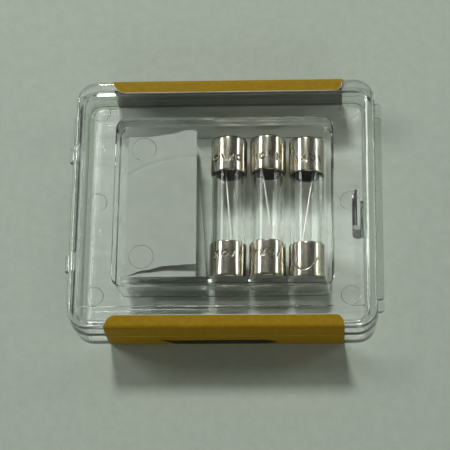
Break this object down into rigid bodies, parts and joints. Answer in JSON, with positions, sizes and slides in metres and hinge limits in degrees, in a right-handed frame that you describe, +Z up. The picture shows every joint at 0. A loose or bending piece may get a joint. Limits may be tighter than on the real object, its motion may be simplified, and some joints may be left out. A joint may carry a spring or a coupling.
{
  "type": "cartridge fuse holder box",
  "caption": "Small clear hinged box that holds glass cartridge fuses and a folded leaflet, with a snap latch and a wrap-round label.",
  "frame": {"origin": "centre of the overall outline, on the surface the box rests on, lid down", "axes": "+X from the hinge to the latch, +Y to the rear along the fuses, +Z up through the tray"},
  "size_m": [0.0432, 0.0364, 0.0086],
  "materials": {
    "clear_plastic": "clear polished polystyrene",
    "label": "glossy printed paper, dark mustard",
    "leaflet": "thin uncoated paper",
    "nickel_cap": "nickel-plated brass, satin bright",
    "fuse_glass": "clear soda glass tube",
    "fuse_wire": "fine tinned wire",
    "solder": "dull solder"
  },
  "bodies": {
    "lid": {"lid_shell": "clear_plastic", "lid_label": "label"},
    "tray": {"tray_shell": "clear_plastic", "tray_label_front": "label", "tray_label_rear": "label", "paper_insert": "leaflet"},
    "fuse_1": {"fuse_1_cap_front": "nickel_cap", "fuse_1_cap_rear": "nickel_cap", "fuse_1_glass_tube": "fuse_glass", "fuse_1_wire": "fuse_wire", "fuse_1_solder_front": "solder", "fuse_1_solder_rear": "solder"},
    "fuse_2": {"fuse_2_cap_front": "nickel_cap", "fuse_2_cap_rear": "nickel_cap", "fuse_2_glass_tube": "fuse_glass", "fuse_2_wire": "fuse_wire", "fuse_2_solder_front": "solder", "fuse_2_solder_rear": "solder"},
    "fuse_3": {"fuse_3_cap_front": "nickel_cap", "fuse_3_cap_rear": "nickel_cap", "fuse_3_glass_tube": "fuse_glass", "fuse_3_wire": "fuse_wire", "fuse_3_solder_front": "solder", "fuse_3_solder_rear": "solder"}
  },
  "joints": [
    {"name": "tray_hinge", "type": "hinge", "parent": "lid", "child": "tray", "pos_m": [-0.02085, 0, 0.0052], "axis": [0, -1, 0], "range_deg": [0, 180]},
    {"name": "fuse_1_roll", "type": "hinge", "parent": "tray", "child": "fuse_1", "pos_m": [0.00055, 0, 0.0039], "axis": [0, 1, 0], "continuous": true},
    {"name": "fuse_2_roll", "type": "hinge", "parent": "tray", "child": "fuse_2", "pos_m": [0.00595, 0.0001, 0.0039], "axis": [0, 1, 0], "continuous": true},
    {"name": "fuse_3_roll", "type": "hinge", "parent": "tray", "child": "fuse_3", "pos_m": [0.01135, -0.00025, 0.0039], "axis": [0, 1, 0], "continuous": true}
  ]
}
